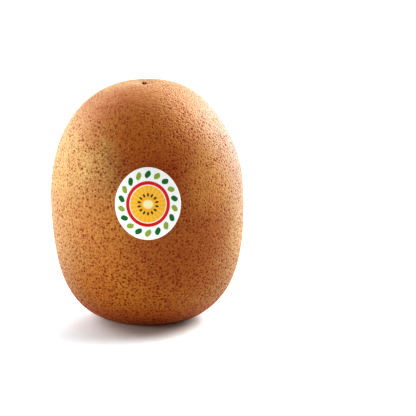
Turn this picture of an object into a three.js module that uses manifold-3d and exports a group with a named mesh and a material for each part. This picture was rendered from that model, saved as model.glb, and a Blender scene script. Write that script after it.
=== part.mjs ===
// A whole golden kiwi fruit, standing on its stem end, with an oval paper label stuck to its front.
// The fruit is one solid: a blunt egg with a dry flower tip in a dimple on top, and below it a hollow
// with a woody stalk scar and five dry sepals, ringed by the flat spot that the fruit stands on.
// Millimetres. +Z up, the label faces -Y. The origin is under the middle of the fruit, on the surface
// that it stands on.
import * as THREE from "three";
import { mergeVertices } from "three/addons/utils/BufferGeometryUtils.js";
import Module from "manifold-3d";

// ---- Driving dimensions ----------------------------------------------------------------------

const WIDTH = 54; // left to right, at the widest
const DEPTH = 52; // front to back
const CROWN_REACH = 35.4; // from the widest level up to the top, before the dimple
const BASE_REACH = 33.2; // from the widest level down to the lowest point, before the flat
const CROWN_BLUNTNESS = 2.2; // 2 is an ellipse, more is blunter
const BASE_BLUNTNESS = 2.6;

// Where the fruit grew a little fuller or leaner than the plain egg: degrees, and millimetres.
// Azimuth 0 is the right side and -90 the front. Polar 0 is the top and 180 the base.
const SWELLS = [
  { azimuth: 180, polar: 38, spread: 24, rise: 0.4 }, // left shoulder
  { azimuth: 180, polar: 112, spread: 20, rise: -0.45 }, // left flank
  { azimuth: 180, polar: 150, spread: 16, rise: 0.35 }, // left heel
  { azimuth: 0, polar: 140, spread: 20, rise: 0.35 }, // right heel
  { azimuth: 0, polar: 40, spread: 16, rise: -0.4 }, // right shoulder
  { azimuth: 70, polar: 70, spread: 34, rise: 0.5 }, // back
  { azimuth: -60, polar: 128, spread: 26, rise: 0.3 }, // front, low on the right
  { azimuth: 35, polar: 24, spread: 13, rise: 0.35 }, // high side of the crown
];

// The dimple round the flower tip, a little off the middle, and the hollow round the stalk scar,
// which has a flat floor.
const DIMPLE = { x: -0.6, y: -1.2, depth: 0.9, radius: 2.6 };
const HOLLOW = { depth: 3.2, radius: 5.6 };
const FLAT_RISE = 1.1; // the flat spot's height above the lowest point of the plain egg

// The dry flower tip: a button with the stubs of its styles.
const BUTTON = { radius: 0.9, height: 0.4, root: 1.2, sides: 12 };
const STYLES = { count: 7, ring: 0.45, thick: 0.32, tip: 0.2, length: 1.4, splay: 34, sides: 6 };

// The stalk scar: a woody rim round a rough plug, and five sepals flattened against the hollow.
const SCAR = { rim: 2.9, rimWidth: 0.9, rimHeight: 0.65, plug: 1.4, plugHeight: 0.4, root: 1.6, sides: 24 };
const SEPALS = { count: 5, from: 2.2, length: 2.9, halfWidth: 1.3, thick: 0.6, droop: 23 };

// The label, and how far its back stands off the skin.
const LABEL = { width: 18.8, height: 19.6, thick: 0.4, gap: 0.1, right: 0.2, aboveMiddle: 5.2 };

// How finely the surfaces are divided.
const BODY_RINGS = 52;
const BODY_SIDES = 80;
const POLE_CROWDING = 0.25; // how strongly the rings gather towards both ends
const LABEL_RINGS = 8;
const LABEL_SIDES = 40;

// ---- Small helpers ---------------------------------------------------------------------------

const radians = THREE.MathUtils.degToRad;
const bell = (distance, width, squareness = 2) => Math.exp(-((distance / width) ** squareness));
const times = (count, make) => Array.from({ length: count }, (_, i) => make(i));

const manifold = await Module();
manifold.setup();

// A closed surface through a first point, rings of points, and a last point.
function closedRings(first, rings, last) {
  const sides = rings[0].length;
  const points = [first, ...rings.flat(), last];
  const at = (ring, side) => 1 + ring * sides + (side % sides);
  const faces = [];
  for (let s = 0; s < sides; s++) {
    faces.push(0, at(0, s), at(0, s + 1));
    for (let r = 0; r + 1 < rings.length; r++) {
      faces.push(at(r, s), at(r + 1, s), at(r + 1, s + 1));
      faces.push(at(r, s), at(r + 1, s + 1), at(r, s + 1));
    }
    faces.push(points.length - 1, at(rings.length - 1, s + 1), at(rings.length - 1, s));
  }
  return new THREE.BufferGeometry().setFromPoints(points).setIndex(faces);
}

function toSolid(geometry) {
  const bare = geometry.clone();
  bare.deleteAttribute("normal");
  bare.deleteAttribute("uv");
  const merged = mergeVertices(bare, 1e-4);
  return new manifold.Manifold(
    new manifold.Mesh({
      numProp: 3,
      vertProperties: new Float32Array(merged.attributes.position.array),
      triVerts: new Uint32Array(merged.index.array),
    }),
  );
}

function toGeometry(solid) {
  const { vertProperties, triVerts } = solid.getMesh();
  return new THREE.BufferGeometry()
    .setAttribute("position", new THREE.BufferAttribute(vertProperties, 3))
    .setIndex(new THREE.BufferAttribute(triVerts, 1));
}

// ---- The skin's form -------------------------------------------------------------------------

function direction(polar, azimuth) {
  const across = Math.sin(polar);
  return new THREE.Vector3(across * Math.cos(azimuth), across * Math.sin(azimuth), Math.cos(polar));
}

// A point of the plain egg with its swells, seen from the middle of the widest level.
function skinPoint(polar, azimuth) {
  const out = direction(polar, azimuth);
  const reach = out.z > 0 ? CROWN_REACH : BASE_REACH;
  const turn = THREE.MathUtils.smoothstep(-out.z, -1, 1);
  const bluntness = THREE.MathUtils.lerp(CROWN_BLUNTNESS, BASE_BLUNTNESS, turn);
  const side = 1 / Math.hypot(Math.cos(azimuth) / (WIDTH / 2), Math.sin(azimuth) / (DEPTH / 2));
  const across = (Math.sin(polar) / side) ** bluntness;
  const along = (Math.abs(Math.cos(polar)) / reach) ** bluntness;
  let radius = (across + along) ** (-1 / bluntness);
  for (const swell of SWELLS) {
    const centre = direction(radians(swell.polar), radians(swell.azimuth));
    radius += swell.rise * bell(out.angleTo(centre), radians(swell.spread));
  }
  return out.multiplyScalar(radius);
}

const FLAT_LEVEL = FLAT_RISE - BASE_REACH;

// The same point with the ends finished: the dimple, the hollow and the flat spot.
function fruitPoint(polar, azimuth) {
  const point = skinPoint(polar, azimuth);
  if (point.z > 0) {
    point.z -= DIMPLE.depth * bell(Math.hypot(point.x - DIMPLE.x, point.y - DIMPLE.y), DIMPLE.radius);
  } else {
    point.z += HOLLOW.depth * bell(Math.hypot(point.x, point.y), HOLLOW.radius, 4);
  }
  point.z = Math.max(point.z, FLAT_LEVEL);
  return point;
}

function bodyGeometry() {
  const polarAt = (ring) => {
    const share = ring / BODY_RINGS;
    return Math.PI * share - POLE_CROWDING * Math.sin(2 * Math.PI * share);
  };
  const ringAt = (ring) =>
    times(BODY_SIDES, (side) => fruitPoint(polarAt(ring), (2 * Math.PI * side) / BODY_SIDES));
  const rings = times(BODY_RINGS - 1, (ring) => ringAt(ring + 1));
  return closedRings(fruitPoint(0, 0), rings, fruitPoint(Math.PI, 0));
}

// ---- The dry flower tip ----------------------------------------------------------------------

function flowerTip() {
  const profile = [
    [0, -BUTTON.root],
    [BUTTON.radius, -BUTTON.root],
    [BUTTON.radius * 1.1, 0.1],
    [BUTTON.radius * 0.85, BUTTON.height],
    [BUTTON.radius * 0.3, BUTTON.height * 0.7],
    [0, BUTTON.height * 0.7],
  ].map(([x, y]) => new THREE.Vector2(x, y));
  const button = new THREE.LatheGeometry(profile, BUTTON.sides).rotateX(Math.PI / 2);
  const styles = times(STYLES.count, (i) => {
    const turn = (2 * Math.PI * i) / STYLES.count;
    const length = STYLES.length * (1 - 0.25 * (i % 3));
    return new THREE.CylinderGeometry(STYLES.tip, STYLES.thick, length, STYLES.sides)
      .rotateX(Math.PI / 2)
      .translate(0, 0, length * 0.2)
      .rotateY(radians(STYLES.splay - 9 * (i % 2)))
      .translate(STYLES.ring, 0, 0)
      .rotateZ(turn);
  });
  const foot = CROWN_REACH - DIMPLE.depth;
  return [button, ...styles].map((piece) => piece.translate(DIMPLE.x, DIMPLE.y, foot));
}

// ---- The stalk scar and the sepals -----------------------------------------------------------

function stalkScar() {
  const inner = SCAR.rim - SCAR.rimWidth;
  const profile = [
    [0, -SCAR.root],
    [SCAR.rim, -SCAR.root],
    [SCAR.rim, -0.1],
    [SCAR.rim - SCAR.rimWidth * 0.3, SCAR.rimHeight],
    [inner, SCAR.rimHeight * 0.8],
    [inner - 0.3, 0.05],
    [SCAR.plug, 0.05],
    [SCAR.plug * 0.8, SCAR.plugHeight],
    [0, SCAR.plugHeight * 0.7],
  ].map(([x, y]) => new THREE.Vector2(x, y));
  const scar = new THREE.LatheGeometry(profile, SCAR.sides).rotateX(Math.PI / 2);
  const sepals = times(SEPALS.count, (i) => {
    const length = SEPALS.length * (1 - 0.14 * (i % 3));
    const outline = new THREE.Shape()
      .moveTo(0, -SEPALS.halfWidth * 0.7)
      .quadraticCurveTo(length * 0.5, -SEPALS.halfWidth * 1.2, length, SEPALS.halfWidth * 0.3)
      .quadraticCurveTo(length * 0.5, SEPALS.halfWidth * 1.2, 0, SEPALS.halfWidth * 0.7);
    return new THREE.ExtrudeGeometry(outline, { depth: SEPALS.thick, bevelEnabled: false, curveSegments: 4 })
      .translate(0, 0, -SEPALS.thick / 2)
      .rotateY(-radians(SEPALS.droop))
      .translate(SEPALS.from, 0, 0)
      .rotateZ((2 * Math.PI * (i + 0.1 * (i % 2))) / SEPALS.count);
  });
  const ceiling = fruitPoint(Math.PI, 0);
  return [scar, ...sepals].map((piece) => piece.rotateX(Math.PI).translate(0, 0, ceiling.z));
}

function fruitGeometry() {
  const pieces = [bodyGeometry(), ...flowerTip(), ...stalkScar()].map(toSolid);
  return toGeometry(pieces.reduce((joined, piece) => joined.add(piece)));
}

// ---- The label -------------------------------------------------------------------------------

// The polar angle at which the skin reaches a height, on the meridian of that azimuth.
function polarAtHeight(azimuth, height) {
  let [high, low] = [0, Math.PI];
  for (let step = 0; step < 40; step++) {
    const middle = (high + low) / 2;
    if (skinPoint(middle, azimuth).z > height) high = middle;
    else low = middle;
  }
  return (high + low) / 2;
}

function skinNormal(polar, azimuth) {
  const step = 1e-3;
  const down = skinPoint(polar + step, azimuth).sub(skinPoint(polar - step, azimuth));
  const round = skinPoint(polar, azimuth + step).sub(skinPoint(polar, azimuth - step));
  return down.cross(round).normalize();
}

function labelGeometry() {
  const middle = (CROWN_REACH - BASE_REACH) / 2;
  // A point of the label: its share of the way out to the rim, its angle, and its lift off the skin.
  const labelPoint = (share, angle, lift) => {
    const across = LABEL.right + (share * Math.cos(angle) * LABEL.width) / 2;
    const up = middle + LABEL.aboveMiddle + (share * Math.sin(angle) * LABEL.height) / 2;
    const azimuth = -Math.PI / 2 + across / (WIDTH / 2);
    const polar = polarAtHeight(azimuth, up);
    return skinPoint(polar, azimuth).addScaledVector(skinNormal(polar, azimuth), lift);
  };
  const ringAt = (share, lift) =>
    times(LABEL_SIDES, (side) => labelPoint(share, (2 * Math.PI * side) / LABEL_SIDES, lift));
  const front = LABEL.gap + LABEL.thick;
  const shares = times(LABEL_RINGS, (ring) => (ring + 1) / LABEL_RINGS);
  const rings = [
    ...shares.map((share) => ringAt(share, front)),
    ...shares.reverse().map((share) => ringAt(share, LABEL.gap)),
  ];
  return closedRings(labelPoint(0, 0, front), rings, labelPoint(0, 0, LABEL.gap));
}

// ---- The object ------------------------------------------------------------------------------

const skinMaterial = new THREE.MeshStandardMaterial({ color: 0xa8703c, roughness: 0.6, metalness: 0 });
const paperMaterial = new THREE.MeshStandardMaterial({ color: 0xf4f1e8, roughness: 0.4, metalness: 0 });

const kiwi = new THREE.Group();
const fruit = new THREE.Mesh(fruitGeometry(), skinMaterial);
fruit.name = "fruit";
const label = new THREE.Mesh(labelGeometry(), paperMaterial);
label.name = "label";
kiwi.add(fruit, label);

// Stand the group on z = 0, with its box centred on the origin.
const box = new THREE.Box3().setFromObject(kiwi, true);
kiwi.position.set(-(box.min.x + box.max.x) / 2, -(box.min.y + box.max.y) / 2, -box.min.z);

export default kiwi;
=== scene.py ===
# %% [markdown]
# # A whole golden kiwi fruit
#
# A golden kiwi is a blunt egg with a thin, dry, nearly hairless skin. The skin is golden brown and covered
# in reddish brown freckles, which are the pores that the fruit breathes through. On top is the dried tip
# of the flower, at the bottom the scar of the stalk, and a paper label is stuck to the front.
#
# The solid part is loaded first. Everything made here is fitted to it, in metres, +Z up.

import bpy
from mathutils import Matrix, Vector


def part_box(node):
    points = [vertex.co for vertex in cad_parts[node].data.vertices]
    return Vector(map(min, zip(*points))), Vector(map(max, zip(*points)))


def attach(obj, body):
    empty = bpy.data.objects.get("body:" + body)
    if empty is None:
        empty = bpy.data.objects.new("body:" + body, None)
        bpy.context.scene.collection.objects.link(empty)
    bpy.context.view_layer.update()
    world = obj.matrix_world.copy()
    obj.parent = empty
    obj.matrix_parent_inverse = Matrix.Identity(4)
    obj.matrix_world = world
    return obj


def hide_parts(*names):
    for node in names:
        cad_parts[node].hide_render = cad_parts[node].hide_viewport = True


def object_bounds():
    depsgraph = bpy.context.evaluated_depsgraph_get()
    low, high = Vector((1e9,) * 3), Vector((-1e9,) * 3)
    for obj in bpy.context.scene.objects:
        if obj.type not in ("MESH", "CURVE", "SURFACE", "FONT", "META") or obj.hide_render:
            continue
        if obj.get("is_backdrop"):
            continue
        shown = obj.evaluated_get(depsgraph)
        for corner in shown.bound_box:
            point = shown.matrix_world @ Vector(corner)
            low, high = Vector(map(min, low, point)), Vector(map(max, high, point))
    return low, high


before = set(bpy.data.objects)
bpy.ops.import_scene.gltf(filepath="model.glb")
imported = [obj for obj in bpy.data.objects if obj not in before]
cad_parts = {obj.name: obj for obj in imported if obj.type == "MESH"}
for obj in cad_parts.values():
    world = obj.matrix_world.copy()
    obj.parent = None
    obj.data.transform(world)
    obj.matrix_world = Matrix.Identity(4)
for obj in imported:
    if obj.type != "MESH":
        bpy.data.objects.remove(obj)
cad_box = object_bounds()
print("nodes:", sorted(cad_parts), "box:", [tuple(round(v, 4) for v in corner) for corner in cad_box])

# %% Libraries and units
import math
import random

import bmesh
import bpy
import mathutils.noise
import numpy as np
from mathutils import Vector

MM = 0.001  # the fruit's sizes below are in millimetres, and Blender works in metres
MAIN_BODY = "root"
random.seed(7)
mathutils.noise.seed_set(7)  # without this its noise differs at every run
print("Blender", bpy.app.version_string)

# %% [markdown]
# ## The form of the fruit
#
# The skin could be sculpted, or a smooth copy of the solid's facets. A formula is better here: it gives
# a point for any direction, so the same few lines place the skin, the label and both ends, and none of
# them can drift apart. It is an egg whose two halves have their own reach and bluntness, with a few broad
# swells, because no fruit is regular. These values are the solid's own.

# %% Driving dimensions, in millimetres
WIDTH, DEPTH = 54.0, 52.0
CROWN_REACH, BASE_REACH = 35.4, 33.2  # from the widest level to the plain egg's top and bottom
CROWN_BLUNTNESS, BASE_BLUNTNESS = 2.2, 2.6  # 2 is an ellipse, more is blunter
SWELLS = [  # azimuth, polar angle and spread in degrees, then the rise
    (180, 38, 24, 0.4),
    (180, 112, 20, -0.45),
    (180, 150, 16, 0.35),
    (0, 140, 20, 0.35),
    (0, 40, 16, -0.4),
    (70, 70, 34, 0.5),
    (-60, 128, 26, 0.3),
    (35, 24, 13, 0.35),
]
DIMPLE = {"x": -0.6, "y": -1.2, "depth": 0.9, "radius": 2.6}  # round the flower tip
HOLLOW = {"depth": 3.2, "radius": 5.6}  # round the stalk scar
FLAT_LEVEL = 1.1 - BASE_REACH  # the ring that the fruit stands on, above the plain egg's bottom
FLAT_SOFTNESS = 0.12  # how gently the skin rolls into that ring
print("plain egg:", WIDTH, "x", DEPTH, "x", CROWN_REACH + BASE_REACH, "mm, with", len(SWELLS), "swells")


# %% The plain egg
def bell(distance, width, squareness=2):
    return np.exp(-((distance / width) ** squareness))


def direction(polar, azimuth):
    """Unit vectors for polar angles, from straight up, and azimuths, from the right side."""
    across = np.sin(polar)
    return np.stack([across * np.cos(azimuth), across * np.sin(azimuth), np.cos(polar)], axis=-1)


def plain_skin(out):
    """The egg with its swells, without its ends, in the directions of the unit vectors out."""
    azimuth = np.arctan2(out[..., 1], out[..., 0])
    side = 1 / np.hypot(np.cos(azimuth) / (WIDTH / 2), np.sin(azimuth) / (DEPTH / 2))
    reach = np.where(out[..., 2] > 0, CROWN_REACH, BASE_REACH)
    down = (1 - out[..., 2]) / 2
    bluntness = CROWN_BLUNTNESS + (BASE_BLUNTNESS - CROWN_BLUNTNESS) * down**2 * (3 - 2 * down)
    across = (np.hypot(out[..., 0], out[..., 1]) / side) ** bluntness
    along = (np.abs(out[..., 2]) / reach) ** bluntness
    radius = (across + along) ** (-1 / bluntness)
    for azimuth, polar, spread, rise in SWELLS:
        centre = direction(math.radians(polar), math.radians(azimuth))
        angle = np.arccos(np.clip(out @ centre, -1, 1))
        radius = radius + rise * bell(angle, math.radians(spread))
    return out * radius[..., None]


for way, azimuth in (("right", 0), ("front", -90), ("left", 180)):
    side = plain_skin(direction(math.pi / 2, math.radians(azimuth)))
    print("the", way, "side at the widest level is at", side.round(2), "mm")


# %% The skin with both ends
def whole_skin(out):
    """The plain egg with the dimple, the hollow and the ring that the fruit stands on."""
    points = plain_skin(out)
    x, y, z = np.moveaxis(points, -1, 0)
    dimple = DIMPLE["depth"] * bell(np.hypot(x - DIMPLE["x"], y - DIMPLE["y"]), DIMPLE["radius"])
    hollow = HOLLOW["depth"] * bell(np.hypot(x, y), HOLLOW["radius"], 4)
    z = np.where(z > 0, z - dimple, z + hollow)
    above = z - FLAT_LEVEL
    points[..., 2] = FLAT_LEVEL + (above + np.sqrt(above**2 + FLAT_SOFTNESS**2)) / 2
    return points


top, ceiling = (whole_skin(direction(polar, 0.0))[2] for polar in (0.0, math.pi))
print("on its axis, the skin runs from %.2f to %.2f mm" % (ceiling, top))


# %% [markdown]
# ## From the formula to a mesh
#
# A globe's grid crowds at its poles, just where the dimple and the hollow need an even one. A cube whose
# faces are cut into squares and then blown up into a ball has no poles. Its squares stay much alike, about
# a third of a millimetre, which is fine enough to carry the freckles as real relief.

# %% A ball of squares
CUTS = 124  # along each edge of the cube: about 187,000 triangles


def ball_of_squares(cuts):
    """A cube's surface cut into squares and rounded to a unit ball. Returns a bmesh."""
    bm = bmesh.new()
    bmesh.ops.create_cube(bm, size=2)
    bmesh.ops.subdivide_edges(bm, edges=bm.edges, cuts=cuts, use_grid_fill=True)
    for vertex in bm.verts:
        even = Vector(math.tan(math.pi / 4 * c) for c in vertex.co)
        vertex.co = Vector((even.x * WIDTH, even.y * DEPTH, even.z * (CROWN_REACH + BASE_REACH))).normalized()
    return bm


ball = ball_of_squares(CUTS)
print("ball:", len(ball.faces), "squares")


# %% The ball shaped into the fruit
def shaped(bm, name, form):
    """A new smooth-shaded object: the bmesh with each vertex moved to form(vertices)."""
    mesh = bpy.data.meshes.new(name)
    bm.to_mesh(mesh)
    bm.free()
    points = np.zeros(len(mesh.vertices) * 3, np.float32)
    mesh.vertices.foreach_get("co", points)
    moved = form(points.reshape(-1, 3).astype(float)) * MM
    mesh.vertices.foreach_set("co", moved.astype(np.float32).ravel())
    mesh.shade_smooth()
    thing = bpy.data.objects.new(name, mesh)
    bpy.context.scene.collection.objects.link(thing)
    return thing


raw = whole_skin(np.array([v.co for v in ball.verts]))
low_corner, high_corner = (np.array(corner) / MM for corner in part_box("fruit"))
SHIFT = (low_corner + high_corner) / 2 - (raw.min(axis=0) + raw.max(axis=0)) / 2
SHIFT[2] = -FLAT_LEVEL  # from the formula's middle to the place where the solid stands
skin = shaped(ball, "kiwi_skin", lambda out: whole_skin(out) + SHIFT)
print("skin:", len(skin.data.polygons), "squares, shifted by", SHIFT.round(3), "mm")

# %% [markdown]
# ## A short way to write node trees
#
# Both the relief of the skin and its colours are worked out by nodes. Nodes are easier to read as sums than
# as a list of links, so a wire, which is an output socket, gets the arithmetic operators. Each one adds a
# Math node. All other nodes come from one function, which takes the node's type, its settings and what
# goes into its sockets.


# %% Wires
class Wire:
    """An output socket that can be used in sums, such as 1 - mask * 0.5."""

    def __init__(self, socket):
        self.socket = socket

    @staticmethod
    def node(tree, kind, settings=None, sockets=None, output=0):
        """Adds a node. Settings come first, because they can change which sockets it has."""
        node = tree.nodes.new(kind)
        for name, value in (settings or {}).items():
            setattr(node, name, value)
        for name, value in (sockets or {}).items():
            if isinstance(value, Wire):
                tree.links.new(value.socket, node.inputs[name])
            else:
                node.inputs[name].default_value = value
        return Wire(node.outputs[output]) if node.outputs else node

    def other(self, output):
        """Another output of the same node."""
        return Wire(self.socket.node.outputs[output])

    def math(self, operation, *values, clamp=False):
        sockets = dict(enumerate((self, *values)))
        settings = {"operation": operation, "use_clamp": clamp}
        return Wire.node(self.socket.id_data, "ShaderNodeMath", settings, sockets)

    def swapped(self, operation, first):
        return Wire.node(self.socket.id_data, "ShaderNodeMath", {"operation": operation}, {0: first, 1: self})

    def __add__(self, other):
        return self.math("ADD", other)

    def __sub__(self, other):
        return self.math("SUBTRACT", other)

    def __rsub__(self, other):
        return self.swapped("SUBTRACT", other)

    def __mul__(self, other):
        return self.math("MULTIPLY", other)

    def __truediv__(self, other):
        return self.math("DIVIDE", other)

    def __rtruediv__(self, other):
        return self.swapped("DIVIDE", other)

    def __pow__(self, power):
        return self.math("POWER", power)

    def __rpow__(self, base):
        return self.swapped("POWER", base)

    __radd__, __rmul__ = __add__, __mul__

    def clamped(self):
        return self.math("ADD", 0.0, clamp=True)

    def fade(self, zero, one):
        """0 where this value is at zero, 1 where it is at one, and smooth in between."""
        settings = {"interpolation_type": "SMOOTHSTEP"}
        sockets = {"Value": self, "From Min": zero, "From Max": one}
        if zero > one:
            sockets = {"Value": self, "From Min": one, "From Max": zero, "To Min": 1.0, "To Max": 0.0}
        return Wire.node(self.socket.id_data, "ShaderNodeMapRange", settings, sockets)


print("a wire knows:", ", ".join(name for name in vars(Wire) if not name.startswith("_")))


# %% Vectors and colours
def parts_of(vector):
    """The three numbers of a vector or colour wire."""
    whole = Wire.node(vector.socket.id_data, "ShaderNodeSeparateXYZ", None, {0: vector})
    return whole, whole.other(1), whole.other(2)


def vector_sum(operation, first, *others):
    """A Vector Math node. SCALE takes a number, the rest take vectors."""
    names = ["Scale"] if operation == "SCALE" else range(1, 1 + len(others))
    sockets = {0: first, **dict(zip(names, others))}
    return Wire.node(first.socket.id_data, "ShaderNodeVectorMath", {"operation": operation}, sockets)


def mix(factor, first, second):
    """Goes from the first colour to the second as factor goes from 0 to 1."""
    tree = factor.socket.id_data
    first, second = (c if isinstance(c, Wire) else (*c, 1.0) for c in (first, second))
    return Wire.node(tree, "ShaderNodeMix", {"data_type": "RGBA"}, {0: factor, 6: first, 7: second}, 2)


trial = bpy.data.node_groups.new("trial", "ShaderNodeTree")
mix(1 - Wire.node(trial, "ShaderNodeValue") * 0.5, (1, 0, 0), (0, 0, 1))
print("mixing two colours by 1 - value * 0.5 makes:", ", ".join(node.name for node in trial.nodes))
bpy.data.node_groups.remove(trial)

# %% [markdown]
# ## The pattern of the freckles
#
# Freckles are not alike: some are crisp dark dots, many are faint, and a few run together into little
# worms. Towards the base they are larger and more alike, and on the crown they are faint. Scattered discs
# would need thousands of places on the skin. Cells of a 3D Voronoi texture do it with one node, and each
# cell has random numbers for the size and the strength of its dot.
#
# The cells' middles lie above or below the skin, so plain distances would shrink or lose most dots.
# Measured along the skin instead, every cell gives a full dot. Noise bends the space first, so that no dot
# is quite round. One function makes the pattern, and both the relief and the colours call it, so the
# dents fall exactly on the dots.

# %% Noise and dots
SCATTER = 0.82  # of the cells' middles: 0 is a grid, 1 is pure chance


def noise(where, size, detail=2.0, output="Fac"):
    """Noise with lumps of about this size in millimetres, from 0 to 1."""
    sockets = {"Vector": where, "Scale": 1 / size, "Detail": detail}
    return Wire.node(where.socket.id_data, "ShaderNodeTexNoise", None, sockets, output)


def dots(where, normal, cell, smallest, spread, softness, weakest=0.3):
    """Dots in Voronoi cells: up to 1 in a dot's middle, and down to weakest in some cells."""
    tree = where.socket.id_data
    sockets = {"Vector": where, "Scale": 1 / cell, "Randomness": SCATTER}
    middle = Wire.node(tree, "ShaderNodeTexVoronoi", None, sockets, "Position")
    size, strength, _ = parts_of(middle.other("Color"))
    away = vector_sum("SUBTRACT", where, middle)
    square = vector_sum("DOT_PRODUCT", away, away).other("Value")
    depth = vector_sum("DOT_PRODUCT", away, normal).other("Value")
    along = (square - depth * depth).math("MAXIMUM", 0.0) ** 0.5
    inside = ((smallest + spread * size - along) / softness + 0.5).clamped()
    return inside * (weakest + (1 - weakest) * strength)


print("the cells' middles are scattered by", SCATTER)

# %% Freckles, large and small
FRECKLE_CELL, SPECK_CELL = 1.1, 0.75  # mm
FRECKLE_LEAST, FRECKLE_MORE, FRECKLE_EDGE = 0.155, 0.2, 0.2  # mm: smallest radius, chance's share, soft edge
SPECK_LEAST, SPECK_MORE, SPECK_EDGE = 0.1, 0.12, 0.16
FRECKLE_GROWTH, SPECK_GROWTH = 0.06, 0.02  # mm, of the smallest radius towards the base
BEND_SIZE, BEND = 0.9, 0.7  # of the noise that bends the dots, in mm
BASE_ZONE, CROWN_ZONE = (34, 12), (56, 66)  # heights in mm where each starts and is full
CROWD_SIZE = 2.2  # mm, of the places where the freckles stand out


def freckles(where, normal):
    """The masks of the freckles and of the fainter specks between them. where is in millimetres."""
    bend = noise(where, BEND_SIZE, 1.0, "Color")
    bent = vector_sum("MULTIPLY_ADD", bend, (BEND, BEND, BEND), where)
    height = parts_of(where)[2]
    low, high = height.fade(*BASE_ZONE), height.fade(*CROWN_ZONE)
    least, more = FRECKLE_LEAST + FRECKLE_GROWTH * low, FRECKLE_MORE - FRECKLE_GROWTH * low
    large = dots(bent, normal, FRECKLE_CELL, least, more, FRECKLE_EDGE, weakest=0.3 + 0.2 * low)
    small = dots(bent, normal, SPECK_CELL, SPECK_LEAST + SPECK_GROWTH * low, SPECK_MORE, SPECK_EDGE)
    crowd = noise(where, CROWD_SIZE, 2).fade(0.35, 0.6)
    large = large * (0.7 + 0.3 * crowd.math("MAXIMUM", low)) * (1 - 0.4 * high)
    return large, small * (0.55 + 0.45 * crowd) * (1 - 0.1 * low)


print("freckles about", FRECKLE_CELL, "mm apart, and specks", SPECK_CELL, "mm apart between them")

# %% [markdown]
# ## The relief of the skin
#
# A bump map alone would leave the outline and the mesh as smooth as an egg. So the relief is real: geometry
# nodes press each freckle a few hundredths of a millimetre into the skin, between low swellings, and the
# result is applied to the mesh. The skin is only ever pressed in, which keeps it inside the solid's box.

# %% The relief as nodes
PIT_DEPTH, SPECK_DEPTH, LUMP_DEPTH = 0.06, 0.03, 0.03  # mm
LUMP_SIZE = 2.2  # mm
SPARED = (0.05, 0.6)  # mm above the floor, where the relief starts and is full


def relief_tree():
    tree = bpy.data.node_groups.new("skin relief", "GeometryNodeTree")
    for way in ("INPUT", "OUTPUT"):
        tree.interface.new_socket("Geometry", in_out=way, socket_type="NodeSocketGeometry")
    whole = Wire.node(tree, "NodeGroupInput")
    place = Wire.node(tree, "GeometryNodeInputPosition")
    normal = Wire.node(tree, "GeometryNodeInputNormal")
    where = vector_sum("SCALE", place, 1 / MM)
    large, small = freckles(where, normal)
    depth = large * PIT_DEPTH + small * SPECK_DEPTH + noise(where, LUMP_SIZE) * LUMP_DEPTH
    off_the_floor = parts_of(where)[2].fade(*SPARED)
    move = vector_sum("SCALE", normal, depth * off_the_floor * -MM)
    moved = Wire.node(tree, "GeometryNodeSetPosition", None, {"Geometry": whole, "Offset": move})
    Wire.node(tree, "NodeGroupOutput", None, {0: moved})
    return tree


relief = skin.modifiers.new("relief", "NODES")
relief.node_group = relief_tree()
print("relief:", len(relief.node_group.nodes), "nodes")


# %% Press the freckles into the mesh
def apply_modifier(thing, modifier):
    bpy.context.view_layer.objects.active = thing
    bpy.ops.object.modifier_apply(modifier=modifier.name)


before = np.array([v.co for v in skin.data.vertices])
apply_modifier(skin, relief)
sunk = np.linalg.norm(np.array([v.co for v in skin.data.vertices]) - before, axis=1) / MM
print("relief: %.3f mm deep on average, %.3f mm at most" % (sunk.mean(), sunk.max()))

# %% [markdown]
# ## The colours of the skin
#
# No two sides of a kiwi have the same colour. The skin is golden here and browner or redder there, with a
# redder base. Some of the tints also paint light and shade: painted shade on the middle of the front, a
# painted shadow on its lower right, a red patch on the crown that is partly painted shade, painted
# highlights on the upper left and on the crown's rim, a golden left side that is partly painted light, a
# pale painted sheen on the right, and a painted warm reflection high on the right front. A painted map
# would do, but it would need a seam, and its edges would be fixed. Here each side has a broad tint, which
# fades with the angle from its middle, and noise makes the edges wander. Fine flecks, some paler and some
# redder than the skin round them, go over it all.


# %% Helpers for materials
def material(name):
    """A new material. Returns it, its node tree and its shader node."""
    made = bpy.data.materials.new(name)
    made.use_nodes = True
    return made, made.node_tree, made.node_tree.nodes["Principled BSDF"]


def feed(shader, **links):
    """Links wires to the shader's sockets, named with _ for a space."""
    for name, wire in links.items():
        shader.id_data.links.new(wire.socket, shader.inputs[name.replace("_", " ")])


def settle(shader, **values):
    """Sets the shader's sockets that are the same all over."""
    for name, value in values.items():
        shader.inputs[name.replace("_", " ")].default_value = value


def own_millimetres(tree):
    """The object's own coordinates in millimetres, which move with it."""
    return vector_sum("SCALE", Wire.node(tree, "ShaderNodeTexCoord", output="Object"), 1 / MM)


print("materials before the skin's:", len(bpy.data.materials))

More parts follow.
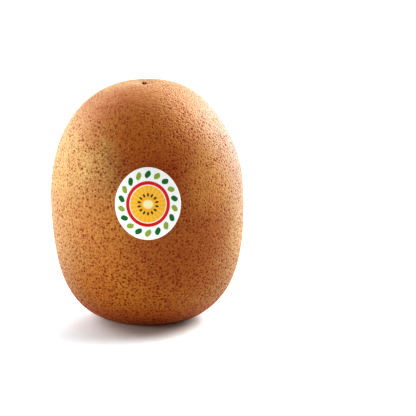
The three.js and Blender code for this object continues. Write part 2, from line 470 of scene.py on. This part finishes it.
# %% The tint of each side
SIDES = [  # polar angle and azimuth in degrees, cosines where the tint starts and is full, strength, tint
    ("lower front", 122, -95, 0.68, 0.95, 0.85, (0.295, 0.124, 0.016)),
    ("golden left side, partly painted light", 86, -145, 0.74, 0.98, 0.85, (0.307, 0.174, 0.054)),
    # golden tint: partly the skin's colour, partly painted light where the left softboxes fall
    ("left of the label", 94, -119, 0.84, 1.02, 0.75, (0.32, 0.145, 0.03)),
    # pale tint: painted highlight on the upper left
    ("painted highlight, upper left", 50, -154, 0.78, 1.02, 0.8, (0.368, 0.226, 0.072)),
    # darker, redder tint: painted shadow on the lower right of the front
    ("painted shadow beside the label", 98, -68, 0.72, 0.97, 0.85, (0.23, 0.074, 0.006)),
    # darker, redder tint: painted shade on the middle of the front
    ("painted shade over the label", 55, -80, 0.82, 0.99, 0.95, (0.228, 0.061, 0.004)),
    ("front of the crown", 27, -86, 0.82, 1.0, 0.75, (0.34, 0.145, 0.028)),
    # redder, darker patch: partly the skin's colour, partly painted shade on the crown
    ("red patch with painted shade, crown", 26, -134, 0.88, 1.03, 0.8, (0.285, 0.1, 0.018)),
    # warm tint: painted reflection and sheen high on the right front
    ("painted reflection, upper right", 66, -46, 0.89, 0.995, 0.8, (0.31, 0.155, 0.04)),
    # pale pinkish tint: painted sheen on the right side
    ("painted sheen, right side", 62, 6, 0.68, 1.0, 0.85, (0.235, 0.153, 0.1)),
    # pale tint: painted highlight on the crown's rim near the flower tip
    ("painted highlight near the flower tip", 11, 175, 0.955, 1.03, 0.85, (0.34, 0.23, 0.105)),
    ("back", 84, 90, 0.1, 0.7, 0.85, (0.202, 0.105, 0.033)),
]
TINTS_MIDDLE = 33.0  # mm above the floor, where their directions start
WANDER, WANDER_SIZE = 0.06, 9  # of the tints' edges: as a cosine, and the lumps' size in mm


def facing(where, polar, azimuth):
    """1 where the skin faces this way, 0 a quarter turn from it."""
    outward = vector_sum("NORMALIZE", vector_sum("SUBTRACT", where, (0.0, 0.0, TINTS_MIDDLE)))
    way = direction(math.radians(polar), math.radians(azimuth)).tolist()
    return vector_sum("DOT_PRODUCT", outward, way).other("Value")


def tinted(where, colour):
    """The colour with the tints of all sides over it, in their order; some tints are painted light and shade.
    """
    wander = noise(where, WANDER_SIZE, 2) * (2 * WANDER) - WANDER
    for _, polar, azimuth, start, full, strength, tint in SIDES:
        side = facing(where, polar, azimuth) + wander
        colour = mix(side.fade(start, full) * strength, colour, tint)
    return colour


print(len(SIDES), "tints:", ", ".join(name for name, *_ in SIDES))

# %% The colour of the skin between its freckles
GOLD, BROWN = (0.27, 0.165, 0.057), (0.22, 0.1, 0.026)
ORANGE, RED_BASE = (0.255, 0.11, 0.022), (0.27, 0.084, 0.017)
ORANGE_ZONE, RED_ZONE = (34, 8), (11, 3)  # heights in mm where each starts and is full
FRONT_ZONE = (14, -10)  # mm behind the fruit's middle, where the front starts and is full
PALE_FLECK, RED_FLECK = (1.32, 1.48, 1.45), (0.95, 0.75, 0.62)  # times the colour under them
PATCH_SIZE, FLECK_SIZE = 11, 0.42  # mm


def skin_colour(where, flecks):
    """Brown patches on gold, the orange lower half, the tints of the sides, the red base and the flecks."""
    _, depth, height = parts_of(where)
    patches = noise(where, PATCH_SIZE, 3).fade(0.35, 0.65)
    colour = mix(patches * 0.4, GOLD, BROWN)
    colour = mix(height.fade(*ORANGE_ZONE) * 0.6, colour, ORANGE)
    colour = tinted(where, colour)
    in_front = depth.fade(*FRONT_ZONE)
    colour = mix(height.fade(*RED_ZONE) * (0.3 + 0.6 * in_front), colour, RED_BASE)
    colour = mix(flecks.fade(0.5, 0.66) * 0.5, colour, vector_sum("MULTIPLY", colour, PALE_FLECK))
    return mix(flecks.fade(0.5, 0.36) * 0.65, colour, vector_sum("MULTIPLY", colour, RED_FLECK))


print("flecks: %.2f mm, patches of brown: %.0f mm" % (FLECK_SIZE, PATCH_SIZE))

# %% [markdown]
# ## Wax and cork
#
# The skin has a dull natural wax, so its gloss is soft, and a fine grain breaks it up. The freckles are
# cork, which is redder, darker and hardly shines. Mixed into the colour alone they would gleam like the
# wax round them. So the cork has a shader of its own, and the pattern of the freckles mixes the two. A
# bump deepens the freckles that are pressed into the mesh and adds the grain, which is too fine for it.

# %% Skin material
CORK = (0.17, 0.021, 0.0045, 1)
GRAIN_SIZE, BUMP_HEIGHT = 0.28, 0.12  # mm


def skin_material():
    made, tree, wax = material("kiwi skin")
    where = own_millimetres(tree)
    large, small = freckles(where, Wire.node(tree, "ShaderNodeTexCoord", output="Normal"))
    flecks, grain = noise(where, FLECK_SIZE, 3), noise(where, GRAIN_SIZE, 3)

    height_of_grain = grain * 0.3 - large * 1.1 - small * 0.8 + flecks * 0.8
    bump_sockets = {"Height": height_of_grain, "Strength": 1.0, "Distance": BUMP_HEIGHT * MM}
    bump = Wire.node(tree, "ShaderNodeBump", None, bump_sockets)
    feed(wax, Base_Color=skin_colour(where, flecks), Roughness=0.42 + 0.16 * grain, Normal=bump)
    settle(wax, IOR=1.43, Specular_Tint=(1.0, 0.99, 0.96, 1.0))

    cork = Wire.node(tree, "ShaderNodeBsdfPrincipled", None, {"Normal": bump})
    settle(cork.socket.node, Base_Color=CORK, Roughness=0.7, IOR=1.43, Specular_IOR_Level=0.15)
    dotted = (large * 0.95).math("MAXIMUM", small * 0.85)
    both = Wire.node(tree, "ShaderNodeMixShader", None, {0: dotted, 1: Wire(wax.outputs[0]), 2: cork})
    tree.links.new(both.socket, tree.nodes["Material Output"].inputs["Surface"])
    return made


skin.data.materials.append(skin_material())
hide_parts("fruit")
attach(skin, MAIN_BODY)
print("skin material:", len(skin.data.materials[0].node_tree.nodes), "nodes")

# %% [markdown]
# ## The label
#
# The label is an oval of thin paper that follows the skin. It could be a flat disc shrink-wrapped to the
# fruit, but the formula is exact: each ring of points is laid along the skin and lifted along the
# skin's own normal. The rim is rolled down onto the skin, which leaves a fine line of shade round it.

# %% Places on the skin under the label
LABEL = {"width": 18.8, "height": 19.6, "right": 0.2, "above_middle": 5.2}


def polar_at_height(azimuth, height):
    """The polar angles at which the skin reaches these heights, found by halving."""
    high, low = np.zeros_like(azimuth), np.full_like(azimuth, math.pi)
    for _ in range(40):
        middle = (high + low) / 2
        above = plain_skin(direction(middle, azimuth))[..., 2] > height
        high, low = np.where(above, middle, high), np.where(above, low, middle)
    return (high + low) / 2


def skin_normal(polar, azimuth, step=1e-3):
    down = plain_skin(direction(polar + step, azimuth)) - plain_skin(direction(polar - step, azimuth))
    round_ = plain_skin(direction(polar, azimuth + step)) - plain_skin(direction(polar, azimuth - step))
    normal = np.cross(down, round_)
    return normal / np.linalg.norm(normal, axis=-1, keepdims=True)


def on_label(u, v, lift):
    """Points on the skin at u to the right and v up from the label's middle, in mm, and lifted."""
    azimuth = -math.pi / 2 + (LABEL["right"] + u) / (WIDTH / 2)
    polar = polar_at_height(azimuth, (CROWN_REACH - BASE_REACH) / 2 + LABEL["above_middle"] + v)
    return plain_skin(direction(polar, azimuth)) + skin_normal(polar, azimuth) * np.asarray(lift)[..., None]


print("the label's middle is at", on_label(0.0, 0.0, 0.0).round(2), "mm")

# %% An oval of paper laid on the skin
LABEL_LIFT, LABEL_ROOT = 0.11, -0.12  # of its face and of its buried rim, from the plain skin, in mm
LABEL_RINGS, LABEL_SIDES = 40, 160


def closed_rings(first, rings, last):
    """Points and faces of a closed surface through a first point, rings of points, and a last point."""
    sides = len(rings[0])
    points = np.concatenate([[first], *rings, [last]])

    def at(ring, side):
        return 1 + ring * sides + side % sides

    faces = [(0, at(0, s), at(0, s + 1)) for s in range(sides)]
    for r in range(len(rings) - 1):
        faces += [(at(r, s), at(r + 1, s), at(r + 1, s + 1), at(r, s + 1)) for s in range(sides)]
    end = len(rings) - 1
    faces += [(len(points) - 1, at(end, s + 1), at(end, s)) for s in range(sides)]
    return points, faces


def label_mesh():
    """Points, faces, and each point's place on the flat label."""
    shares = np.append(np.arange(1, LABEL_RINGS + 1) / LABEL_RINGS, 1.0)
    lifts = np.full(len(shares), LABEL_LIFT)
    lifts[-2], lifts[-1] = LABEL_LIFT * 0.75, LABEL_ROOT
    turn = np.linspace(0, 2 * math.pi, LABEL_SIDES, endpoint=False)
    rim = np.stack([np.cos(turn) * LABEL["width"], np.sin(turn) * LABEL["height"]], axis=-1) / 2
    flat_rings = [rim * share for share in shares]
    rings = [on_label(*ring.T, np.full(len(ring), lift)) for ring, lift in zip(flat_rings, lifts)]
    first, last = (on_label(0.0, 0.0, lift) for lift in (LABEL_LIFT, LABEL_ROOT))
    points, faces = closed_rings(first, rings, last)
    flat = np.concatenate([[[0, 0]], *flat_rings, [[0, 0]]])
    return points, faces, flat


points, faces, flat = label_mesh()
print("label:", len(points), "points")


# %% The label as an object
def new_object(name, points, faces):
    """A smooth-shaded object from points in the formula's millimetres."""
    mesh = bpy.data.meshes.new(name)
    mesh.from_pydata([tuple(p) for p in (np.asarray(points) + SHIFT) * MM], [], faces)
    mesh.validate()
    mesh.shade_smooth()
    thing = bpy.data.objects.new(name, mesh)
    bpy.context.scene.collection.objects.link(thing)
    return thing


label = new_object("label_sticker", points, faces)
print_map = label.data.uv_layers.new(name="print")
corners = [flat[loop.vertex_index] for loop in label.data.loops]
size = np.array([LABEL["width"], LABEL["height"]])
print_map.data.foreach_set("uv", (np.array(corners) / size + 0.5).astype(np.float32).ravel())
print("label:", len(label.data.polygons), "faces")

# %% [markdown]
# ## The print on the label
#
# The print is a plain fruit motif on white: a slice of golden kiwi, with its pale core, its rays and its
# ring of seeds, inside a red ring, and a wreath of green leaves round it. It could be an image, but worked
# out from the distance and the angle to the label's middle its edges stay sharp at any size.

# %% Inks, edges and repeats
INK = {
    "white": (0.58, 0.58, 0.578),
    "gold": (0.55, 0.305, 0.010),
    "pale": (0.57, 0.40, 0.10),
    "cream": (0.55, 0.49, 0.30),
    "seed": (0.03, 0.012, 0.006),
    "red": (0.42, 0.003, 0.002),
    "leaf": (0.002, 0.12, 0.018),
    "young leaf": (0.21, 0.28, 0.045),
}


def edge(distance, at, blur=0.12):
    """1 inside a distance, 0 outside it, with a printed edge's slight blur, in millimetres."""
    return distance.fade(at + blur / 2, at - blur / 2)


def repeated(turn, count):
    """The angle from the middle of the nearest of count equal sectors, in radians."""
    share = turn * (count / (2 * math.pi))
    return ((share + 100).math("FRACT") - 0.5) * (2 * math.pi / count)


print("inks:", ", ".join(INK))

# %% The slice in its red ring
SLICE_RADIUS, WHITE_LINE, RING_RADIUS = 5.0, 0.25, 6.15  # mm
CORE = {"radius": 1.6, "squeeze": 1.25, "blur": 0.35}
SEED = {"count": 14, "ring": 2.55, "half_long": 0.5, "half_wide": 0.26}
RAYS, RAYS_FROM, RAYS_FULL = 22, 1.6, 3.2


def slice_print(u, v, far, turn):
    """The inks of the slice, and of the rings round it, from its middle outwards."""
    rays = (turn * RAYS).math("SINE") * 0.5 + 0.5
    flesh = mix(rays * far.fade(RAYS_FROM, RAYS_FULL) * 0.5, INK["gold"], INK["pale"])
    core = edge((u * u + (v * CORE["squeeze"]) ** 2) ** 0.5 + rays * 0.25, CORE["radius"], CORE["blur"])
    flesh = mix(core, flesh, INK["cream"])
    across = repeated(turn, SEED["count"]) * far / SEED["half_wide"]
    along = (far - SEED["ring"]) / SEED["half_long"]
    flesh = mix(edge((across**2 + along**2) ** 0.5, 1.0, 0.3), flesh, INK["seed"])
    colour = mix(edge(far, RING_RADIUS), INK["white"], INK["red"])
    colour = mix(edge(far, SLICE_RADIUS + WHITE_LINE), colour, INK["white"])
    return mix(edge(far, SLICE_RADIUS), colour, flesh)


print("slice %.1f mm wide, in a ring %.1f mm wide" % (2 * SLICE_RADIUS, 2 * RING_RADIUS))

# %% The wreath of leaves
LEAF = {"count": 18, "middle": 7.6, "half_long": 0.95, "half_wide": 0.82, "lean": 0.35, "bluntness": 1.6}


def wreath(u, v, turn):
    """The mask and the ink of the leaves. They follow the oval, lean, and are of two greens by turns."""
    oval = (u * u + (v * (LABEL["width"] / LABEL["height"])) ** 2) ** 0.5
    out = oval - LEAF["middle"]
    across = (repeated(turn, LEAF["count"]) * oval + out * LEAF["lean"]) / LEAF["half_wide"]
    along = out / LEAF["half_long"]
    across, along = (value.math("ABSOLUTE") ** LEAF["bluntness"] for value in (across, along))
    every_other = (turn * (LEAF["count"] / (4 * math.pi)) + 100).math("FRACT").math("GREATER_THAN", 0.5)
    return edge(across + along, 1.0, 0.2), mix(every_other, INK["leaf"], INK["young leaf"])


print(LEAF["count"], "leaves,", LEAF["middle"], "mm from the middle")

# %% Label material
FIBRE_SIZE, CREASE_SIZE, STAIN_SIZE = 0.12, 2.2, 1.4  # mm
PAPER_SHADE = (0.5, 0.45, 0.4)


def label_material():
    made, tree, shader = material("printed paper")
    flat = Wire.node(tree, "ShaderNodeUVMap", {"uv_map": "print"})
    u, v, _ = parts_of(flat)
    u, v = (u - 0.5) * LABEL["width"], (v - 0.5) * LABEL["height"]
    far = (u * u + v * v) ** 0.5
    turn = v.math("ARCTAN2", u)
    leaf, green = wreath(u, v, turn)
    colour = mix(leaf, slice_print(u, v, far, turn), green)

    where = own_millimetres(tree)
    fibres = noise(where, FIBRE_SIZE, 2)
    colour = mix(noise(where, STAIN_SIZE, 3) * 0.08, colour, PAPER_SHADE)
    relief = fibres + noise(where, CREASE_SIZE) * 2
    bump_sockets = {"Height": relief, "Strength": 0.15, "Distance": 0.03 * MM}
    bump = Wire.node(tree, "ShaderNodeBump", None, bump_sockets)
    feed(shader, Base_Color=colour, Roughness=0.32 + 0.12 * fibres, Normal=bump)
    settle(shader, IOR=1.5, Specular_IOR_Level=0.15)
    return made


label.data.materials.append(label_material())
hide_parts("label")
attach(label, MAIN_BODY)
print("label material:", len(label.data.materials[0].node_tree.nodes), "nodes")

# %% [markdown]
# ## The dry flower tip
#
# The flower's remains dry up into a dark crumbly button with the stubs of its styles, like a worn brush.
# The button is a lathed profile roughened with noise. Each stub is a tube swept along its own curling path,
# because a straight cone would look machined. The stubs stay a little below the top of the crown.

# %% Rough and lathed surfaces
BUTTON = {"radius": 0.6, "height": 0.35, "root": 0.9}


def rough(points, size, amount):
    """The points, each pushed about by smooth noise with lumps of this size, in millimetres."""
    push = np.array([mathutils.noise.noise_vector(Vector(p) / size) for p in points])
    return np.asarray(points) + push * amount


def lathed(profile, middle, sides=48, down=False):
    """A closed surface from (radius, height) pairs that run inwards from the root to the middle."""
    flip = -1 if down else 1
    turn = np.linspace(0, 2 * math.pi, sides, endpoint=False) * flip
    circle = np.stack([np.cos(turn), np.sin(turn), np.zeros(sides)], axis=-1)
    rings = [circle * r + np.array([0, 0, h * flip]) for r, h in profile]
    (_, low), (_, high) = profile[0], profile[-1]
    points, faces = closed_rings((0, 0, high * flip), rings[::-1], (0, 0, low * flip))
    return points + np.array(middle), faces


def button(foot):
    """A rounded rim round a shallow cup, roughened."""
    radius, height = BUTTON["radius"], BUTTON["height"]
    shares = np.linspace(0, 1, 14)
    rim = [(radius * 1.08 * math.cos(s * 1.2), 0.05 + height * math.sin(s * 1.5)) for s in shares]
    cup = [(radius * r, height * h) for r, h in ((0.3, 0.8), (0.2, 0.7), (0.1, 0.68))]
    points, faces = lathed([(radius, -BUTTON["root"]), (radius * 1.05, -0.1), *rim, *cup], foot)
    return rough(points, 0.45, 0.14), faces


tip_foot = np.array([DIMPLE["x"], DIMPLE["y"], CROWN_REACH - DIMPLE["depth"]])
print("button:", len(button(tip_foot)[1]), "faces")


# %% The styles
STYLES = {"count": 11, "points": 9, "ring": 0.3, "thick": 0.14, "tip": 0.05, "length": 0.85, "splay": 46}


def tube(path, radii, sides=10):
    """A closed tube round a path of points, with a radius for each."""
    path = np.asarray(path, float)
    along = np.gradient(path, axis=0)
    along /= np.linalg.norm(along, axis=1, keepdims=True)
    side = np.cross(along, (0.3, 0.9, 0.1))
    side /= np.linalg.norm(side, axis=1, keepdims=True)
    up = np.cross(along, side)
    turn = np.linspace(0, 2 * math.pi, sides, endpoint=False)[:, None]
    rings = [p + r * (np.cos(turn) * a + np.sin(turn) * b) for p, r, a, b in zip(path, radii, side, up)]
    return closed_rings(path[-1], rings[::-1], path[0])


def joined(parts):
    """Several (points, faces) as one."""
    points, faces = [], []
    for part_points, part_faces in parts:
        start = sum(len(p) for p in points)
        faces += [tuple(start + corner for corner in face) for face in part_faces]
        points.append(part_points)
    return np.concatenate(points), faces


def style(number, foot):
    """One stub: it leans out, curls a little, and tapers."""
    turn = 2 * math.pi * (number + random.uniform(-0.3, 0.3)) / STYLES["count"]
    length = STYLES["length"] * random.uniform(0.6, 1.0)
    lean = math.radians(STYLES["splay"] * random.uniform(0.5, 1.25))
    curl = random.uniform(-0.5, 0.9)
    start = STYLES["ring"] * random.uniform(0.3, 1.0)
    path = []
    for share in np.linspace(0, 1, STYLES["points"]):
        tilt = lean + curl * share
        reach = length * share
        out = start + reach * math.sin(tilt)
        swerve = turn + 0.3 * curl * share
        path.append((out * math.cos(swerve), out * math.sin(swerve), 0.1 + reach * math.cos(tilt)))
    radii = np.linspace(STYLES["thick"], STYLES["tip"], len(path))
    points, faces = tube(np.array(path) + foot, radii)
    return rough(points, 0.25, 0.035), faces


styles = [style(i, tip_foot) for i in range(STYLES["count"])]
tip = new_object("flower_tip", *joined([button(tip_foot), *styles]))
tip_top = max(v.co.z for v in tip.data.vertices) / MM
print("flower tip: %d faces, top at %.2f mm" % (len(tip.data.polygons), tip_top))

# %% [markdown]
# ## The stalk scar and the dry sepals
#
# Under the fruit, in the hollow, is the scar that the stalk left: a woody rim round a rough plug. Round it
# five pointed sepals lie flattened against the hollow, brittle as old paper, each with a raised vein and
# with curled edges. The scar is lathed and then ridged. Flat sepals would hover over the curved hollow or
# cut into it, so each point of them is measured down from the skin. They get their thickness last.

# %% The height of the skin at a place
def height_of_skin(x, y, end):
    """The height of the skin over a place near the crown, with end 1, or near the base, with end -1."""
    place = np.stack([x, y, np.full_like(x, end * BASE_REACH)], axis=-1)
    for _ in range(12):
        out = place / np.linalg.norm(place, axis=-1, keepdims=True)
        place[..., 2] = plain_skin(out)[..., 2]
    return whole_skin(place / np.linalg.norm(place, axis=-1, keepdims=True))[..., 2]


CEILING = height_of_skin(np.zeros(1), np.zeros(1), -1)[0]
print("the hollow's ceiling is %.2f mm above the floor" % (CEILING + SHIFT[2]))

# %% The scar
SCAR = {"rim": 2.45, "rim_width": 0.75, "rim_height": 0.75, "plug": 1.05, "plug_height": 0.5, "root": 1.0}
SCAR_SIDES, RIDGES, RIDGE_HEIGHT = 160, 26, 0.07


def stalk_scar():
    """A rim, the groove inside it and the plug, with ridges that run out from the middle."""
    rim, inner = SCAR["rim"], SCAR["rim"] - SCAR["rim_width"]
    across, around, up = np.linspace(0.04, 0.96, 18), np.linspace(0, 1, 5), np.linspace(0.1, 1.5, 14)
    crest = [(rim - SCAR["rim_width"] * s, SCAR["rim_height"] * math.sin(math.pi * s) ** 0.6) for s in across]
    groove = [(inner - 0.1 - (inner - 0.1 - SCAR["plug"]) * s, 0.06) for s in around]
    plug = [(SCAR["plug"] * math.cos(s), 0.06 + SCAR["plug_height"] * math.sin(s) ** 0.7) for s in up]
    profile = [(rim, -SCAR["root"]), *crest, *groove, *plug]
    points, faces = lathed(profile, (0, 0, CEILING), SCAR_SIDES, down=True)
    far = np.hypot(points[:, 0], points[:, 1])
    turn = np.arctan2(points[:, 1], points[:, 0])
    ridge = np.sin(turn * RIDGES + 2 * np.sin(turn * 5)) * RIDGE_HEIGHT * np.clip(far / inner, 0, 1)
    points[:, 2] += np.where(points[:, 2] < CEILING, ridge, 0)
    return rough(points, 0.6, 0.12), faces


scar = new_object("stalk_scar", *stalk_scar())
scar_low = min(v.co.z for v in scar.data.vertices) / MM
print("stalk scar: %d faces, lowest point at %.2f mm" % (len(scar.data.polygons), scar_low))


# %% The sepals
SEPALS = {"count": 5, "from": 1.7, "length": 3.3, "half_width": 1.2, "thick": 0.12, "lift": 0.16}
SEPAL_LONG, SEPAL_WIDE = 26, 14  # points


def sepal(number):
    """A sheet of points that leaves the scar, follows the hollow and curls at its edges and tip."""
    length = SEPALS["length"] * (1 - 0.1 * (number % 3))
    turn = 2 * math.pi * (number + 0.12 * (number % 2)) / SEPALS["count"] + 0.3
    along, across = np.meshgrid(np.linspace(0, 1, SEPAL_LONG), np.linspace(-1, 1, SEPAL_WIDE), indexing="ij")
    width = SEPALS["half_width"] * np.sin(math.pi * (0.25 + 0.745 * along)) ** 0.85
    out = SEPALS["from"] + length * along
    aside = across * width + 0.25 * along**2 * math.sin(2.4 * number)
    x = out * math.cos(turn) - aside * math.sin(turn)
    y = out * math.sin(turn) + aside * math.cos(turn)
    vein = 0.1 * np.exp(-((across * width / 0.14) ** 2)) * (1 - along)
    edges = 0.22 * np.abs(across) ** 3 * (0.3 + along) + 0.06 * np.sin(11 * along + 2 * number) * across**2
    z = height_of_skin(x, y, -1) - SEPALS["lift"] - vein - edges * (1 - along**3) - 0.2 * along**4
    points = rough(np.stack([x, y, z], axis=-1).reshape(-1, 3), 0.9, 0.06)

    def at(row, column):
        return row * SEPAL_WIDE + column

    faces = [(at(r, c), at(r, c + 1), at(r + 1, c + 1), at(r + 1, c)) for r in range(SEPAL_LONG - 1)
             for c in range(SEPAL_WIDE - 1)]
    return points, faces


sepals = new_object("dry_sepals", *joined([sepal(i) for i in range(SEPALS["count"])]))
thickness = sepals.modifiers.new("thickness", "SOLIDIFY")
thickness.thickness, thickness.offset = SEPALS["thick"] * MM, 0.0
apply_modifier(sepals, thickness)
sepals_low = min(v.co.z for v in sepals.data.vertices) / MM
print("sepals: %d faces, lowest point at %.2f mm" % (len(sepals.data.polygons), sepals_low))

# %% [markdown]
# ## Dry and woody finishes
#
# The three small pieces are dead tissue: brown, matt and uneven. One flat brown would look like plastic,
# and a painted map is not worth its seams on such small pieces. So fine noise mixes a light and a dark
# tone. It is drawn out upwards on the flower tip, whose fibres stand up, and coarser on the sepals. Blots
# darken it here and there, and a bump follows both. One function makes all three.


# %% Dry and woody materials
def dry_material(name, light, dark, streak, roughness, relief):
    """Two matt tones in fine noise, with a bump. streak scales the noise along x, y and z."""
    made, tree, shader = material(name)
    where = own_millimetres(tree)
    streaks = noise(vector_sum("MULTIPLY", where, streak), 0.35, 4)
    blots = noise(where, 0.9, 2)
    colour = mix(streaks.fade(0.35, 0.65), dark, light)
    colour = mix(blots.fade(0.45, 0.75) * 0.6, colour, tuple(c * 0.45 for c in dark))
    bump_sockets = {"Height": streaks + blots, "Strength": relief, "Distance": 0.08 * MM}
    bump = Wire.node(tree, "ShaderNodeBump", None, bump_sockets)
    feed(shader, Base_Color=colour, Roughness=roughness - 0.2 * streaks, Normal=bump)
    settle(shader, IOR=1.4)
    return made


DRY_FINISHES = [  # the piece, the finish, its light and dark tones, the streak, roughness and relief
    (tip, "dry flower", (0.28, 0.07, 0.03), (0.12, 0.03, 0.014), (1, 1, 0.3), 0.95, 0.8),
    (scar, "woody scar", (0.36, 0.2, 0.09), (0.11, 0.045, 0.018), (1, 1, 1), 0.95, 0.8),
    (sepals, "dry sepal", (0.46, 0.27, 0.12), (0.27, 0.125, 0.05), (0.6, 0.6, 0.6), 0.85, 0.35),
]
for piece, *finish in DRY_FINISHES:
    piece.data.materials.append(dry_material(*finish))
    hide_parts("fruit")
    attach(piece, MAIN_BODY)
    print(piece.name, "has the finish", piece.data.materials[0].name)

# %% [markdown]
# ## The studio
#
# The fruit stands on a large pale floor in soft light. One lamp above it would be simpler, but it would
# leave a bright spot on the crown and a dark foot. Nine softboxes stand round it instead. Most of the
# light comes from behind it on both sides and from the right, so its flanks are bright and its middle
# stays darker. Two low ones, on the left and in front, fill in the base. Three of those at the back are a
# little cooler.

# %% Floor and world
FLOOR_HALF = 4.0  # metres
FLOOR_COLOUR, WORLD_STRENGTH = (0.79, 0.815, 0.82, 1), 0.02


def floor_material():
    made, tree, shader = material("pale floor")
    settle(shader, Base_Color=FLOOR_COLOUR, Roughness=0.6)
    return made


def floor_and_world():
    near, far = -FLOOR_HALF, FLOOR_HALF
    mesh = bpy.data.meshes.new("floor")
    mesh.from_pydata([(near, near, 0), (far, near, 0), (far, far, 0), (near, far, 0)], [], [(0, 1, 2, 3)])
    floor = bpy.data.objects.new("floor", mesh)
    bpy.context.scene.collection.objects.link(floor)
    floor.data.materials.append(floor_material())
    floor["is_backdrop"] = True
    world = bpy.data.worlds.new("studio")
    bpy.context.scene.world = world
    world.use_nodes = True
    settle(world.node_tree.nodes["Background"], Color=(1, 1, 1, 1), Strength=WORLD_STRENGTH)


floor_and_world()
print("floor:", 2 * FLOOR_HALF, "m wide")

# %% Softboxes
AIM = Vector((0, 0, 0.035))
COOL, WHITE = (0.95, 0.99, 1.05), (1, 1, 1)
SOFTBOXES = [  # azimuth from the right side and elevation in degrees, distance and size in metres, watts
    ("left back box", 150, 25, 0.8, (0.5, 0.6), 3.5, COOL),
    ("left back panel", 140, 25, 1.0, (1.2, 1.0), 5.0, COOL),
    ("right back panel", 60, 25, 1.0, (1.2, 1.0), 5.0, COOL),
    ("right panel", 30, 25, 1.0, (1.2, 1.0), 9.1, WHITE),
    ("right key", 30, 35, 0.8, (0.5, 0.6), 3.8, WHITE),
    ("high right box", 20, 55, 1.0, (0.8, 0.8), 5.0, WHITE),
    ("high back box", 100, 50, 1.0, (0.8, 0.8), 3.0, WHITE),
    ("low left box", 190, 3, 0.8, (0.4, 0.3), 5.0, WHITE),
    ("low front strip", 270, 2, 0.9, (0.8, 0.2), 3.5, WHITE),
]


def softbox(name, azimuth, elevation, distance, size, watts, colour):
    light = bpy.data.lights.new(name, "AREA")
    light.shape, light.size, light.size_y = "RECTANGLE", size[0], size[1]
    light.energy, light.color = watts, colour
    box = bpy.data.objects.new(name, light)
    back = Vector(direction(math.radians(90 - elevation), math.radians(azimuth)))
    box.location = AIM + back * distance
    box.rotation_euler = (-back).to_track_quat("-Z", "Y").to_euler()
    bpy.context.scene.collection.objects.link(box)


for box in SOFTBOXES:
    softbox(*box)
print("%d softboxes with %.1f W in all" % (len(SOFTBOXES), sum(box[5] for box in SOFTBOXES)))

# %% [markdown]
# ## The camera
#
# From close by, the middle of a fruit swells and its flanks hide. A camera that looks along parallel lines
# would cure that, but it would flatten the fruit. So the camera stands well back, a little above the
# fruit, with a long lens, and is turned a little to the right. The colours are shown with high contrast,
# which deepens the freckles.

# %% Camera and colours
CAMERA = {"sensor": 36.0, "lens": 201.6, "elevation": 13, "distance": 0.65}  # mm, mm, degrees, metres
ASIDE, BELOW = 0.01688, 0.00371  # metres: how far right of and below the fruit's middle the camera looks


def camera():
    lens = bpy.data.cameras.new("camera")
    lens.sensor_width, lens.lens = CAMERA["sensor"], CAMERA["lens"]
    eye = bpy.data.objects.new("camera", lens)
    elevation = math.radians(CAMERA["elevation"])
    back = Vector((0, -math.cos(elevation), math.sin(elevation)))
    up = Vector((0, math.sin(elevation), math.cos(elevation)))
    eye.location = AIM + back * CAMERA["distance"]
    target = AIM + Vector((1, 0, 0)) * ASIDE - up * BELOW
    eye.rotation_euler = (target - eye.location).to_track_quat("-Z", "Y").to_euler()
    bpy.context.scene.collection.objects.link(eye)
    bpy.context.scene.camera = eye


camera()
bpy.context.scene.view_settings.view_transform = "Standard"
bpy.context.scene.view_settings.look = "Very High Contrast"
print("camera at", tuple(round(v, 3) for v in bpy.context.scene.camera.location), "m")

# %% [markdown]
# ## Measure
#
# What is seen has to fill the same space as the solid part, or the fruit would look right and sit wrong.
# The eye misses a tenth of a millimetre, so both boxes are measured and put side by side.

# %% Measure
corners = {"cad": [list(c) for c in cad_box], "visual": [list(c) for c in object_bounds()]}
